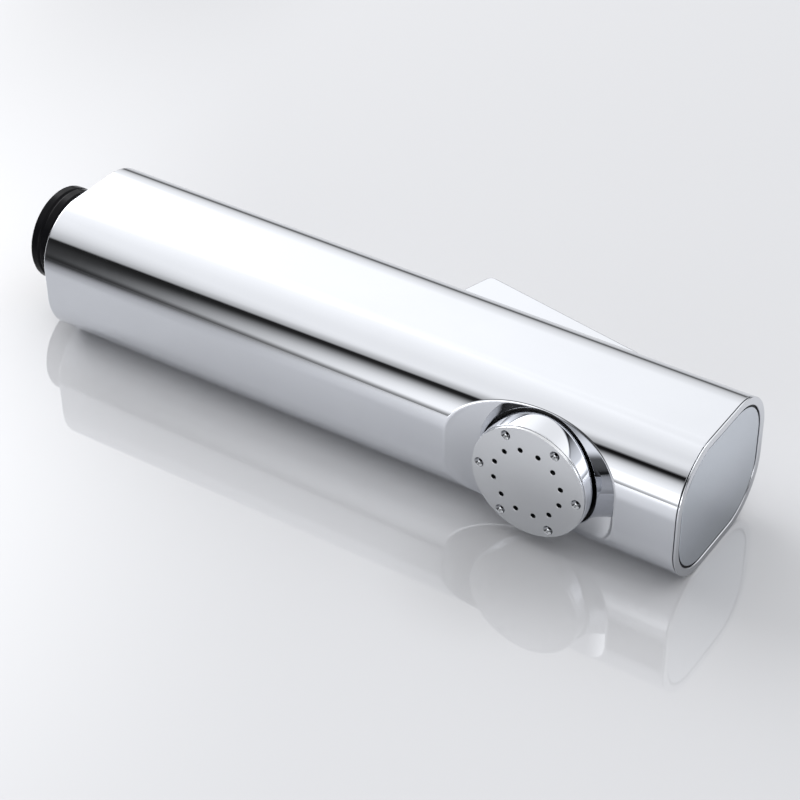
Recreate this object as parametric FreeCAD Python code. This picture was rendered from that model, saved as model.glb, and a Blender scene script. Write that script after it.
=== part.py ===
import FreeCAD, Part
import math
import os

# Handheld bath sprayer: a chrome rounded-square handle with a round spray face in a shallow, round
# scoop on one side, a squeeze lever on the opposite side and a black inlet collar at one end.
# Frame, in millimetres: the origin is the centre of the inlet's mouth. +X runs along the handle
# to its closed end, -Y is the way the water leaves, +Y is the lever's side, and +Z is up when
# the sprayer lies on its flank.

V = FreeCAD.Vector
AXIS_X = V(1, 0, 0)
AXIS_Y = V(0, 1, 0)
AXIS_Z = V(0, 0, 1)

# Handle
handle_width = 36.0            # across Z; the whole object's scale hangs on it
handle_depth = 41.6            # across Y, spray side to lever side
handle_length = 177.0          # chrome handle with its end bezel
handle_corner = 14.0           # corner radius of the section
wall = 2.2
inlet_wall = 2.5               # end wall round the inlet
handle_edge = 0.5              # rounding of the inlet end's outer edge

# Play between pieces
fit_gap = 0.05                 # radial play of pieces pushed together
contact_gap = 0.05             # between faces that close on each other

# Inlet: a half-inch pipe thread in a brass insert, with a black collar round it
thread_bore = 9.3155           # minor radius of the half-inch pipe thread
thread_length = 11.0
insert_radius = 11.4
insert_sleeve_radius = 10.0
insert_sleeve_end = 15.0
insert_throat = 6.7
washer_radius = 9.1
washer_recess = 9.15
washer_thickness = 2.0
washer_hole = 6.2
filter_thickness = 0.6
filter_hole = 0.45
filter_rings = 5
filter_pitch = 1.3
collar_radius = 12.45
collar_length = 12.0           # how far the collar stands out of the handle
collar_bead = 1.4              # rounding of the collar's outer end
collar_ridges = (2.9, 5.3)     # distance of its two ridges from the mouth
collar_crease = 0.35
collar_groove_radius = 11.85
collar_groove_end = 7.0
neck_radius = 11.0
neck_length = 22.0             # how far the inlet housing reaches into the handle
shoulder_radius = 12.5
shoulder_thickness = 3.0

# Check valve behind the inlet
cage_radius = 6.2
cage_length = 14.0
cage_bore = 4.9
cage_seat_thickness = 2.0
cage_end_thickness = 1.2
cage_guide = 1.0
cage_outlets = 6
cage_outlet_radius = 0.9
cage_outlet_ring = 3.2
check_seat_hole = 3.2
poppet_radius = 4.2
poppet_thickness = 1.0
poppet_stem_radius = 0.95
poppet_travel = 2.5
check_wire = 0.5
check_coil_radius = 2.6
check_turns = 5

# Water tube between the inlet and the valve
tube_radius = 7.5
tube_bore = 5.4
tube_entry = 4.0               # how far the tube reaches into the inlet housing
socket_radius = 9.2
socket_depth = 9.0
socket_reach = 18.0            # from the valve's axis to the socket's mouth
tube_groove_radius = 6.2
tube_groove_width = 1.6
tube_ring_thickness = 1.26

# Spray face and the scoop that it stands in
nozzle_x = collar_length + 140.5
scoop_offset = -0.75           # the scoop's middle from the spray axis
scoop_radius = 43.5
scoop_floor_y = -14.85         # the scoop's deepest line
scoop_back_half_length = 24.2  # the thicker wall behind the scoop
scoop_back_half_height = 16.4
scoop_back_corner = 12.5
scoop_back_y = -13.8
nozzle_hole_radius = 15.1
nozzle_hole_bottom_y = -12.2
cup_radius = 14.6
cup_front_y = -21.3
cup_back_y = -14.6
cup_cavity_radius = 13.4
cup_web = 2.2
plate_radius = 14.45
plate_edge_y = -22.05
plate_dome = 0.35              # how far the face bulges at its centre
plate_thickness = 1.2
plate_lip = 0.1                # the plate's edge sinks this far behind the cup's rim
pattern_turn = -2.4            # degrees that the whole pattern is turned from +X
small_hole_count = 12
small_hole_ring = 8.77
small_hole_radius = 0.65
jet_count = 6
jet_ring = 12.5
jet_mouth_radius = 1.2
jet_hole_radius = 0.4
jet_cone_depth = 0.8
diffuser_rings = ((4.0, 8), (7.5, 12), (10.8, 18))
diffuser_hole = 0.8
diffuser_thickness = 0.8
gasket_radius = 12.4
seal_bore = 12.55
seal_front_y = -14.5
seal_back_y = -13.65

# Lever, its hinge and its travel
lever_half_width = 9.5
lever_tip_x = collar_length + 98.45
lever_tip_y = 30.9
lever_slope = 0.182            # fall of the outer face per millimetre along X
lever_heel_x = collar_length + 154.2
lever_foot_x = collar_length + 95.0
lever_foot_low_y = 18.2
lever_foot_high_y = 19.9
lever_plate = 2.2
lever_side = 1.6
lever_tip_rounding = 1.8
lever_hinge_x = collar_length + 152.0
lever_hinge_y = 11.0
lever_boss_radius = 3.2
lever_travel_degrees = 7.0
lever_nose_radius = 3.0        # crowned nose that presses on the stem
lever_nose_half_width = 2.0
lever_lip_length = 2.0         # the lip stops under the handle's wall
lever_lip_low_y = 16.6
lever_lip_high_y = 18.3
lever_lip_half_width = 5.0
lever_slot_gap = 0.4
pin_radius = 1.5
pin_half_length = 12.2
pin_play = 0.05
ear_start_z = 10.0
ear_half_length = 4.5
ear_high_y = 14.0

# Valve under the lever
valve_x = collar_length + 118.0
stem_arm = 34.5                # stem travel per radian of the lever
block_start_x = valve_x - 12.0
block_top_y = 7.2
block_bottom_y = -13.5
block_half_width = 10.5
boss_radius = 12.5
boss_bottom_y = -13.6
neck_thread_radius = 9.0
neck_bottom_y = -18.6
outlet_radius = 6.0
gallery_half_width = 4.5
port_half_width = 4.0
port_low_y = -7.0
port_high_y = -1.5
arm_half_height = 4.0
chamber_radius = 5.7
upper_radius = 6.0
plug_radius = 7.2
plug_shelf_y = -11.0           # where the plug's bore narrows to the chamber
plug_top_y = -11.8
plug_guide_radius = 2.9
plug_slot_half_width = 0.6
plug_slot_depth = 0.4
plug_ring_thickness = 0.78
guide_top_y = -7.7
guide_floor_y = -12.7
guide_play = 0.3
seat_bottom_y = 0.4
seat_top_y = 2.4
seat_hole = 3.9
seat_lip = 0.9
seat_lip_height = 0.3
gland_bottom_y = 5.2
gland_head_y = 10.9
gland_head_radius = 6.4
gland_recess_radius = 3.75
gland_recess_depth = 1.8
stem_ring_thickness = 1.66
stem_radius = 2.0
stem_top_y = 15.8
stem_low_y = -8.3
stem_chamfer = 0.6
stem_play = 0.04
disc_radius = 5.2
disc_bottom_y = -1.8
flange_radius = 4.8
flange_thickness = 1.2
spring_wire = 0.8
spring_coil_radius = 3.9
spring_turns = 4

# End bezel, end plate and the screws behind it
bezel_flange = 0.6
bezel_edge = 0.25              # rounding of the bezel's outer edge
bezel_rim = 2.0
bezel_spigot_gap = 0.15
bezel_spigot_wall = 1.5
bezel_depth = 8.0
bezel_web_thickness = 2.0
bezel_web_back = 3.0           # from the closed end's face to the web's outer face
rabbet = 1.2                   # shell wall left outside the bezel's step
rabbet_depth = 3.0
end_plate_gap = 0.12
end_plate_recess = 0.17
end_plate_boss = 0.5
post_y = -3.5
post_z = 8.0
post_radius = 3.0
screw_radius = 1.45
screw_hole = 1.5
screw_length = 10.0
screw_head_radius = 2.7
screw_head_height = 1.8
driver_depth = 1.0
driver_reach = 1.5
driver_half_width = 0.35

# Worked out from the values above
handle_end_x = collar_length + handle_length
shell_end_x = handle_end_x - bezel_flange
half_depth = handle_depth / 2
half_width = handle_width / 2
scoop_x = nozzle_x + scoop_offset
neck_end_x = collar_length + neck_length
filter_x = thread_length + washer_thickness
cage_start_x = insert_sleeve_end
cage_end_x = cage_start_x + cage_length
tube_start_x = neck_end_x - tube_entry
socket_start_x = valve_x - socket_reach
tube_end_x = socket_start_x + socket_depth
web_face_x = handle_end_x - bezel_web_back
post_end_x = web_face_x - bezel_web_thickness
cavity_floor_y = cup_back_y - cup_web
stem_travel = math.radians(lever_travel_degrees) * stem_arm
beyond = 5.0                   # how far a cutter reaches past the surface that it opens


def section(inset, start_x, end_x):
    """Prism of the handle's rounded-square section, drawn in by inset."""
    y = half_depth - inset
    z = half_width - inset
    r = handle_corner - inset
    k = r * (1 - math.sqrt(0.5))
    edges = []
    for sy, sz in ((1, 1), (-1, 1), (-1, -1), (1, -1)):
        on_side = V(start_x, sy * y, sz * (z - r))
        on_top = V(start_x, sy * (y - r), sz * z)
        middle = V(start_x, sy * (y - k), sz * (z - k))
        first, last = (on_side, on_top) if sy * sz > 0 else (on_top, on_side)
        if edges:
            edges.append(Part.makeLine(edges[-1].Vertexes[-1].Point, first))
        edges.append(Part.Arc(first, middle, last).toShape())
    edges.append(Part.makeLine(edges[-1].Vertexes[-1].Point, edges[0].Vertexes[0].Point))
    return Part.Face(Part.Wire(edges)).extrude(V(end_x - start_x, 0, 0))


def rod_x(radius, start_x, end_x, y=0.0, z=0.0):
    return Part.makeCylinder(radius, end_x - start_x, V(start_x, y, z), AXIS_X)


def rod_y(radius, start_y, end_y, x, z=0.0):
    return Part.makeCylinder(radius, end_y - start_y, V(x, start_y, z), AXIS_Y)


def rod_z(radius, half_length, x, y):
    return Part.makeCylinder(radius, 2 * half_length, V(x, y, -half_length), AXIS_Z)


def block(start, end):
    size = end - start
    return Part.makeBox(size.x, size.y, size.z, start)


def ring_x(outer, inner, start_x, end_x):
    return rod_x(outer, start_x, end_x).cut(rod_x(inner, start_x, end_x))


def ring_y(outer, inner, start_y, end_y, x):
    return rod_y(outer, start_y, end_y, x).cut(rod_y(inner, start_y, end_y, x))


def cut_all(solid, cutters):
    for cutter in cutters:
        solid = solid.cut(cutter)
    return solid.removeSplitter()


def edges_at(solid, x):
    """Edges that lie wholly in the plane across the handle at x."""
    return [e for e in solid.Edges if all(abs(v.X - x) < 0.01 for v in e.Vertexes)]


def turned_x(points):
    """Solid of revolution round the inlet axis, from (x, radius) points."""
    corners = [V(x, radius, 0) for x, radius in points]
    return Part.Face(Part.makePolygon(corners + corners[:1])).revolve(V(0, 0, 0), AXIS_X, 360)


def turned_y(points, x):
    """Solid of revolution round the line along Y through x, from (radius, y) points."""
    corners = [V(x + radius, y, 0) for radius, y in points]
    return Part.Face(Part.makePolygon(corners + corners[:1])).revolve(V(x, 0, 0), AXIS_Y, 360)


def ring_places(count, ring, turn_degrees=0.0):
    """Places evenly spaced round a circle, as pairs of offsets from its centre."""
    for i in range(count):
        a = math.radians(turn_degrees + 360 * i / count)
        yield ring * math.cos(a), ring * math.sin(a)


def o_ring(centre, axis, inner_radius, thickness):
    return Part.makeTorus(inner_radius + thickness / 2, thickness / 2, centre, axis)


def tangent_arc(start, control, end):
    """Arc from start to end whose end tangents meet at control."""
    middle = (start + end) * 0.5
    reach = control - middle
    half_chord = (end - start).Length / 2
    leg = (control - start).Length
    sine = reach.Length / leg
    sagitta = half_chord / sine * (1 - half_chord / leg)
    return Part.Arc(start, middle + reach.normalize() * sagitta, end).toShape()


def coil(base, axis, side, radius, length, turns, wire):
    """Round-wire compression spring that winds from base along axis, as a pipe on pairs of arcs."""
    across = axis.cross(side)
    rise = length / turns / (2 * math.pi)

    def point(a):
        return base + side * (radius * math.cos(a)) + across * (radius * math.sin(a)) + axis * (rise * a)

    def tangent(a):
        turning = across * (radius * math.cos(a)) - side * (radius * math.sin(a))
        return (turning + axis * rise).normalize()

    edges = []
    for i in range(4 * turns):
        a0 = i * math.pi / 2
        a1 = a0 + math.pi / 2
        p0, p1 = point(a0), point(a1)
        t0, t1 = tangent(a0), tangent(a1)
        chord = p1 - p0
        along = chord.dot(t0 + t1)
        spread = 2 * (1 - t0.dot(t1))
        reach = (math.sqrt(along * along + spread * chord.dot(chord)) - along) / spread
        joint = (p0 + p1 + (t0 - t1) * reach) * 0.5
        edges.append(tangent_arc(p0, p0 + t0 * reach, joint))
        edges.append(tangent_arc(joint, p1 - t1 * reach, p1))
    profile = Part.Wire([Part.makeCircle(wire / 2, point(0), tangent(0))])
    return Part.Wire(edges).makePipeShell([profile], True, False)


def scoop():
    """Round cut about an upright axis, in which the spray face stands."""
    start = V(scoop_x, scoop_floor_y - scoop_radius, -half_width - beyond)
    return Part.makeCylinder(scoop_radius, 2 * (half_width + beyond), start)


def scoop_back(start_y):
    """Rounded rectangle in X and Z, pushed along Y: the thicker wall behind the scoop."""
    x = scoop_back_half_length
    z = scoop_back_half_height
    prism = block(V(scoop_x - x, start_y, -z), V(scoop_x + x, scoop_back_y, z))
    along_y = [e for e in prism.Edges if abs(e.Vertexes[0].Y - e.Vertexes[-1].Y) > 1]
    return prism.makeFillet(scoop_back_corner, along_y)


def lever_outline(inset, grow_down):
    """Side view of the lever in X and Y; inset draws in its outer plate and end wall."""
    drop = inset * math.sqrt(1 + lever_slope ** 2)
    tip_x = lever_tip_x + inset
    tip_y = lever_tip_y - drop - lever_slope * inset
    heel_x = lever_heel_x - inset
    heel_y = lever_tip_y - drop - lever_slope * (heel_x - lever_tip_x)
    foot_x = lever_foot_x + inset
    points = [
        V(tip_x, tip_y, 0),
        V(heel_x, heel_y, 0),
        V(heel_x, lever_hinge_y, 0),
        V(lever_hinge_x, lever_hinge_y - lever_boss_radius - grow_down, 0),
        V(foot_x, lever_foot_low_y - grow_down, 0),
        V(foot_x, lever_foot_high_y, 0),
    ]
    return Part.Face(Part.makePolygon(points + points[:1]))


def extrude_z(face, half_length):
    face.translate(V(0, 0, -half_length))
    return face.extrude(V(0, 0, 2 * half_length))


def body_shell():
    front_y = -half_depth - beyond
    outer = section(0, collar_length, shell_end_x)
    outer = outer.makeFillet(handle_edge, edges_at(outer, collar_length))
    cavity = section(wall, collar_length + inlet_wall, handle_end_x)
    cavity = cavity.cut(scoop_back(front_y))
    slot_half = lever_half_width + lever_slot_gap
    slot_start = V(lever_foot_x - lever_slot_gap, half_depth - 8, -slot_half)
    slot_end = V(lever_heel_x + lever_slot_gap, half_depth + beyond, slot_half)
    return cut_all(outer, [
        cavity,
        scoop(),
        rod_y(nozzle_hole_radius, front_y, nozzle_hole_bottom_y, nozzle_x),
        rod_x(neck_radius + fit_gap, 0, collar_length + beyond),
        section(rabbet, shell_end_x - rabbet_depth, handle_end_x),
        block(slot_start, slot_end),
    ])


def end_bezel():
    spigot_inset = wall + bezel_spigot_gap
    spigot_start = shell_end_x - bezel_depth
    flange = section(0, shell_end_x, handle_end_x)
    flange = flange.makeFillet(bezel_edge, edges_at(flange, handle_end_x))
    step_start = shell_end_x - rabbet_depth + bezel_spigot_gap
    step = section(rabbet + bezel_spigot_gap, step_start, shell_end_x)
    spigot = section(spigot_inset, spigot_start, shell_end_x)
    inside = section(spigot_inset + bezel_spigot_wall, spigot_start, handle_end_x)
    recess = section(bezel_rim, shell_end_x, handle_end_x)
    web = section(spigot_inset + bezel_spigot_wall / 2, web_face_x - bezel_web_thickness, web_face_x)
    holes = [rod_x(screw_hole, post_end_x - 1, web_face_x + 1, post_y, z) for z in (-post_z, post_z)]
    return cut_all(flange.fuse(step).fuse(spigot).cut(inside).cut(recess).fuse(web), holes)


def end_plate():
    sheet = section(bezel_rim + end_plate_gap, shell_end_x, handle_end_x - end_plate_recess)
    boss_inset = wall + bezel_spigot_gap + bezel_spigot_wall + end_plate_gap
    boss = section(boss_inset, shell_end_x - end_plate_boss, shell_end_x)
    return sheet.fuse(boss).removeSplitter()


def core_screws():
    driver_start = web_face_x + screw_head_height - driver_depth
    screws = []
    for z in (-post_z, post_z):
        shank = rod_x(screw_radius, web_face_x - screw_length, web_face_x, post_y, z)
        head = rod_x(screw_head_radius, web_face_x, web_face_x + screw_head_height, post_y, z)
        slots = []
        for reach_y, reach_z in ((driver_reach, driver_half_width), (driver_half_width, driver_reach)):
            slots.append(block(V(driver_start, post_y - reach_y, z - reach_z),
                               V(handle_end_x, post_y + reach_y, z + reach_z)))
        screws.append(cut_all(shank.fuse(head), slots))
    return Part.makeCompound(screws)


def inlet_collar():
    crease_x, groove_x = collar_ridges
    insert_bore = insert_radius + fit_gap
    neck_bore = neck_radius + fit_gap
    inner_radius = collar_radius - collar_crease
    inner_end = collar_length - contact_gap
    lip_x = thread_length + contact_gap
    return turned_x([
        (0, insert_bore),
        (0, collar_radius - collar_bead / 2),
        (0.15 * collar_bead, collar_radius - 0.25 * collar_bead),
        (0.5 * collar_bead, collar_radius - 0.06 * collar_bead),
        (collar_bead, collar_radius),
        (crease_x - 2 * collar_crease, collar_radius),
        (crease_x - collar_crease, inner_radius),
        (crease_x, collar_radius),
        (groove_x, collar_radius),
        (groove_x + collar_crease, collar_groove_radius),
        (collar_groove_end - collar_crease, collar_groove_radius),
        (collar_groove_end, inner_radius),
        (inner_end, inner_radius),
        (inner_end, neck_bore),
        (lip_x, neck_bore),
        (lip_x, insert_bore),
    ])


def inlet_insert():
    return turned_x([
        (0, thread_bore),
        (0, insert_radius),
        (thread_length, insert_radius),
        (thread_length, insert_sleeve_radius),
        (insert_sleeve_end, insert_sleeve_radius),
        (insert_sleeve_end, insert_throat),
        (filter_x + filter_thickness, insert_throat),
        (filter_x + filter_thickness, washer_recess),
        (thread_length, washer_recess),
        (thread_length, thread_bore),
    ])


def inlet_washer():
    return ring_x(washer_radius, washer_hole, thread_length, filter_x)


def filter_screen():
    disc = rod_x(washer_radius, filter_x, filter_x + filter_thickness)
    holes = []
    for ring in range(filter_rings):
        for y, z in ring_places(max(1, 6 * ring), filter_pitch * ring):
            holes.append(rod_x(filter_hole, filter_x - 1, filter_x + 1, y, z))
    return disc.cut(Part.makeCompound(holes))


def inlet_housing():
    neck = rod_x(neck_radius, thread_length + contact_gap, neck_end_x)
    shoulder_x = collar_length + inlet_wall
    shoulder = rod_x(shoulder_radius, shoulder_x, shoulder_x + shoulder_thickness)
    return cut_all(neck.fuse(shoulder), [
        rod_x(insert_sleeve_radius + fit_gap, thread_length, insert_sleeve_end + contact_gap),
        rod_x(cage_radius + fit_gap, thread_length, cage_end_x),
        rod_x(cage_bore, thread_length, neck_end_x),
        rod_x(tube_radius + fit_gap, tube_start_x, neck_end_x + 1),
    ])


def check_valve_cage():
    guide_x = cage_end_x - cage_end_thickness
    start = cage_start_x + contact_gap
    outlets = [rod_x(cage_outlet_radius, guide_x - 1, cage_end_x + 1, y, z)
               for y, z in ring_places(cage_outlets, cage_outlet_ring)]
    return cut_all(rod_x(cage_radius, start, cage_end_x), outlets + [
        rod_x(cage_bore, cage_start_x + cage_seat_thickness, guide_x),
        rod_x(check_seat_hole, cage_start_x, guide_x),
        rod_x(cage_guide, guide_x - 1, cage_end_x + 1),
    ])


def check_valve_poppet():
    face_x = cage_start_x + cage_seat_thickness + contact_gap
    back_x = face_x + poppet_thickness
    stem_end_x = cage_end_x - 0.1
    return turned_x([
        (face_x, 0),
        (face_x, poppet_radius),
        (back_x, poppet_radius),
        (back_x + 0.8, 2 * poppet_stem_radius),
        (back_x + 2.0, poppet_stem_radius),
        (stem_end_x, poppet_stem_radius),
        (stem_end_x, 0),
    ])


def check_valve_spring():
    start = cage_start_x + cage_seat_thickness + poppet_thickness + 1.0 + check_wire / 2
    end = cage_end_x - cage_end_thickness - check_wire / 2 - contact_gap
    return coil(V(start, 0, 0), AXIS_X, AXIS_Y, check_coil_radius, end - start, check_turns, check_wire)


def tube_groove_places():
    """Middle of each seal's groove, half of the tube's entry from its end."""
    return tube_start_x + tube_entry / 2, tube_end_x - tube_entry / 2


def water_tube():
    tube = ring_x(tube_radius, tube_bore, tube_start_x + contact_gap, tube_end_x - contact_gap)
    half = tube_groove_width / 2
    grooves = [ring_x(tube_radius + 1, tube_groove_radius, x - half, x + half) for x in tube_groove_places()]
    return cut_all(tube, grooves)


def tube_o_rings():
    bottom = tube_groove_radius + contact_gap / 2
    rings = [o_ring(V(x, 0, 0), AXIS_X, bottom, tube_ring_thickness) for x in tube_groove_places()]
    return Part.makeCompound(rings)


def valve_body():
    body = rod_x(socket_radius, socket_start_x, block_start_x + 1)
    body = body.fuse(block(V(block_start_x, block_bottom_y, -block_half_width),
                           V(nozzle_x, block_top_y, block_half_width)))
    body = body.fuse(rod_y(boss_radius, boss_bottom_y, block_top_y, nozzle_x))
    body = body.fuse(rod_y(neck_thread_radius, neck_bottom_y, boss_bottom_y, nozzle_x))
    ear_start_x = lever_hinge_x - ear_half_length
    ear_end_x = lever_hinge_x + ear_half_length
    body = body.fuse(block(V(nozzle_x, -arm_half_height, -pin_half_length),
                           V(ear_end_x, arm_half_height, pin_half_length)))
    for side in (-1, 1):
        body = body.fuse(rod_x(post_radius, nozzle_x, post_end_x, post_y, side * post_z))
        low_z, high_z = sorted((side * ear_start_z, side * pin_half_length))
        body = body.fuse(block(V(ear_start_x, -arm_half_height, low_z), V(ear_end_x, ear_high_y, high_z)))
    gallery_low = V(valve_x, seat_top_y + contact_gap, -gallery_half_width)
    gallery_high = V(nozzle_x, gland_bottom_y - contact_gap, gallery_half_width)
    port_low = V(tube_end_x - contact_gap, port_low_y, -port_half_width)
    port_high = V(valve_x, port_high_y, port_half_width)
    screw_bores = [rod_x(screw_hole, post_end_x - screw_length, post_end_x + 1, post_y, z)
                   for z in (-post_z, post_z)]
    return cut_all(body, screw_bores + [
        rod_x(tube_radius + fit_gap, socket_start_x - 1, tube_end_x),
        block(port_low, port_high),
        rod_y(plug_radius, block_bottom_y - 1, plug_shelf_y, valve_x),
        rod_y(chamber_radius, plug_shelf_y, seat_bottom_y, valve_x),
        rod_y(upper_radius + fit_gap, seat_bottom_y, block_top_y + 1, valve_x),
        block(gallery_low, gallery_high),
        rod_y(outlet_radius, neck_bottom_y - 1, gland_bottom_y - contact_gap, nozzle_x),
        rod_z(pin_radius + pin_play, pin_half_length + 1, lever_hinge_x, lever_hinge_y),
    ])


def valve_plug():
    plug = rod_y(plug_radius - fit_gap, block_bottom_y, plug_top_y, valve_x)
    guide = rod_y(plug_guide_radius, plug_top_y, guide_top_y, valve_x)
    slot_depth_y = block_bottom_y + plug_slot_depth
    return cut_all(plug.fuse(guide), [
        rod_y(stem_radius + guide_play, guide_floor_y, guide_top_y + 1, valve_x),
        block(V(valve_x - plug_radius, block_bottom_y - 1, -plug_slot_half_width),
              V(valve_x + plug_radius, slot_depth_y, plug_slot_half_width)),
    ])


def valve_plug_o_ring():
    middle_y = (plug_top_y + plug_shelf_y) / 2
    inner = plug_radius - fit_gap - plug_ring_thickness
    return o_ring(V(valve_x, middle_y, 0), AXIS_Y, inner, plug_ring_thickness)


def valve_seat():
    base_y = seat_bottom_y + seat_lip_height
    lip = ring_y(seat_hole + seat_lip, seat_hole, seat_bottom_y, base_y, valve_x)
    return lip.fuse(ring_y(upper_radius, seat_hole, base_y, seat_top_y, valve_x)).removeSplitter()


def stem_gland():
    corners = [V(valve_x + x, block_top_y, z) for x, z in ring_places(6, gland_head_radius)]
    head = Part.Face(Part.makePolygon(corners + corners[:1])).extrude(V(0, gland_head_y - block_top_y, 0))
    return cut_all(rod_y(upper_radius, gland_bottom_y, block_top_y, valve_x).fuse(head), [
        rod_y(stem_radius + stem_play, gland_bottom_y - 1, gland_head_y + 1, valve_x),
        rod_y(gland_recess_radius, gland_bottom_y - 1, gland_bottom_y + gland_recess_depth, valve_x),
    ])


def stem_o_ring():
    centre = V(valve_x, gland_bottom_y + gland_recess_depth / 2, 0)
    return o_ring(centre, AXIS_Y, stem_radius + stem_play, stem_ring_thickness)


def valve_stem():
    flange_y = disc_bottom_y - flange_thickness
    return turned_y([
        (0, stem_low_y),
        (stem_radius, stem_low_y),
        (stem_radius, flange_y),
        (flange_radius, flange_y),
        (flange_radius, disc_bottom_y),
        (stem_radius, disc_bottom_y),
        (stem_radius, stem_top_y - stem_chamfer),
        (stem_radius - stem_chamfer, stem_top_y),
        (0, stem_top_y),
    ], valve_x)


def valve_disc():
    return ring_y(disc_radius, stem_radius, disc_bottom_y, seat_bottom_y - contact_gap, valve_x)


def valve_spring():
    start = plug_top_y + spring_wire / 2 + contact_gap
    end = disc_bottom_y - flange_thickness - spring_wire / 2 - contact_gap
    base = V(valve_x, start, 0)
    return coil(base, AXIS_Y, AXIS_X, spring_coil_radius, end - start, spring_turns, spring_wire)


def lever():
    solid = extrude_z(lever_outline(0, 0), lever_half_width)
    solid = solid.makeFillet(lever_tip_rounding, edges_at(solid, lever_tip_x))
    solid = solid.cut(extrude_z(lever_outline(lever_plate, 2 * beyond), lever_half_width - lever_side))
    boss = rod_z(lever_boss_radius, lever_half_width, lever_hinge_x, lever_hinge_y)
    nose_y = stem_top_y + contact_gap + lever_nose_radius
    nose = rod_z(lever_nose_radius, lever_nose_half_width, valve_x, nose_y)
    rib_top_y = lever_tip_y - lever_slope * (valve_x - lever_tip_x) - lever_plate / 2
    rib = block(V(valve_x - lever_nose_radius, nose_y, -lever_nose_half_width),
                V(valve_x + lever_nose_radius, rib_top_y, lever_nose_half_width))
    lip = block(V(lever_foot_x - lever_lip_length, lever_lip_low_y, -lever_lip_half_width),
                V(lever_foot_x + lever_plate, lever_lip_high_y, lever_lip_half_width))
    bore = rod_z(pin_radius + pin_play, lever_half_width + 1, lever_hinge_x, lever_hinge_y)
    return cut_all(solid.fuse(boss).fuse(nose).fuse(rib).fuse(lip), [bore])


def lever_pin():
    return rod_z(pin_radius, pin_half_length, lever_hinge_x, lever_hinge_y)


def nozzle_cup():
    return cut_all(rod_y(cup_radius, cup_front_y, cup_back_y, nozzle_x), [
        rod_y(cup_cavity_radius, cup_front_y - 1, cavity_floor_y, nozzle_x),
        rod_y(neck_thread_radius + fit_gap, cup_front_y, cup_back_y + 1, nozzle_x),
    ])


def spray_plate():
    back_y = cup_front_y - plate_lip
    centre_y = plate_edge_y - plate_dome
    dome_radius = (plate_radius ** 2 + plate_dome ** 2) / (2 * plate_dome)
    half_reach = plate_radius / 2
    half_y = centre_y + dome_radius - math.sqrt(dome_radius ** 2 - half_reach ** 2)
    spigot = cup_cavity_radius - fit_gap
    corners = [V(nozzle_x + radius, y, 0) for radius, y in (
        (plate_radius, plate_edge_y),
        (plate_radius, back_y),
        (spigot, back_y),
        (spigot, back_y + plate_thickness),
        (0, back_y + plate_thickness),
        (0, centre_y),
    )]
    edges = [Part.makeLine(a, b) for a, b in zip(corners, corners[1:])]
    dome = Part.Arc(V(nozzle_x, centre_y, 0), V(nozzle_x + half_reach, half_y, 0), corners[0])
    outline = Part.Face(Part.Wire([dome.toShape()] + edges))
    plate = outline.revolve(V(nozzle_x, 0, 0), AXIS_Y, 360)
    front_y = centre_y - 1
    mouth_y = plate_edge_y - plate_lip
    for x, z in ring_places(small_hole_count, small_hole_ring, pattern_turn + 180 / small_hole_count):
        plate = plate.cut(rod_y(small_hole_radius, front_y, 0, nozzle_x + x, z))
    for x, z in ring_places(jet_count, jet_ring, pattern_turn):
        cone = Part.makeCone(jet_mouth_radius, jet_hole_radius, jet_cone_depth,
                             V(nozzle_x + x, mouth_y, z), AXIS_Y)
        plate = plate.cut(rod_y(jet_hole_radius, front_y, 0, nozzle_x + x, z)).cut(cone)
        plate = plate.cut(rod_y(jet_mouth_radius, front_y, mouth_y, nozzle_x + x, z))
    return plate


def diffuser_disc():
    start = neck_bottom_y - diffuser_thickness
    disc = rod_y(cup_cavity_radius - 2 * fit_gap, start, neck_bottom_y, nozzle_x)
    for ring, count in diffuser_rings:
        for x, z in ring_places(count, ring):
            disc = disc.cut(rod_y(diffuser_hole, start - 1, neck_bottom_y + 1, nozzle_x + x, z))
    return disc


def nozzle_gasket():
    inner = neck_thread_radius + 2 * fit_gap
    return ring_y(gasket_radius, inner, cup_back_y + contact_gap, boss_bottom_y - contact_gap, nozzle_x)


def nozzle_seal_ring():
    return ring_y(nozzle_hole_radius - fit_gap, seal_bore, seal_front_y, seal_back_y, nozzle_x)


PIECES = (
    body_shell, end_bezel, end_plate, core_screws,
    inlet_collar, inlet_insert, inlet_washer, filter_screen, inlet_housing,
    check_valve_cage, check_valve_poppet, check_valve_spring,
    water_tube, tube_o_rings,
    valve_body, valve_plug, valve_plug_o_ring, valve_seat, stem_gland, stem_o_ring,
    valve_stem, valve_disc, valve_spring,
    lever, lever_pin,
    nozzle_cup, spray_plate, diffuser_disc, nozzle_gasket, nozzle_seal_ring,
)

os.makedirs("parts", exist_ok=True)
for piece in PIECES:
    shape = piece()
    shape.exportStep("parts/" + piece.__name__ + ".step")
    print(piece.__name__, "valid", shape.isValid(), "solids", len(shape.Solids),
          "volume", round(shape.Volume, 1))
print("stem travel", round(stem_travel, 3), "poppet travel", poppet_travel)
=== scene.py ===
import functools
import math
import bmesh
import bpy
from mathutils import Matrix, Vector


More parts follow.
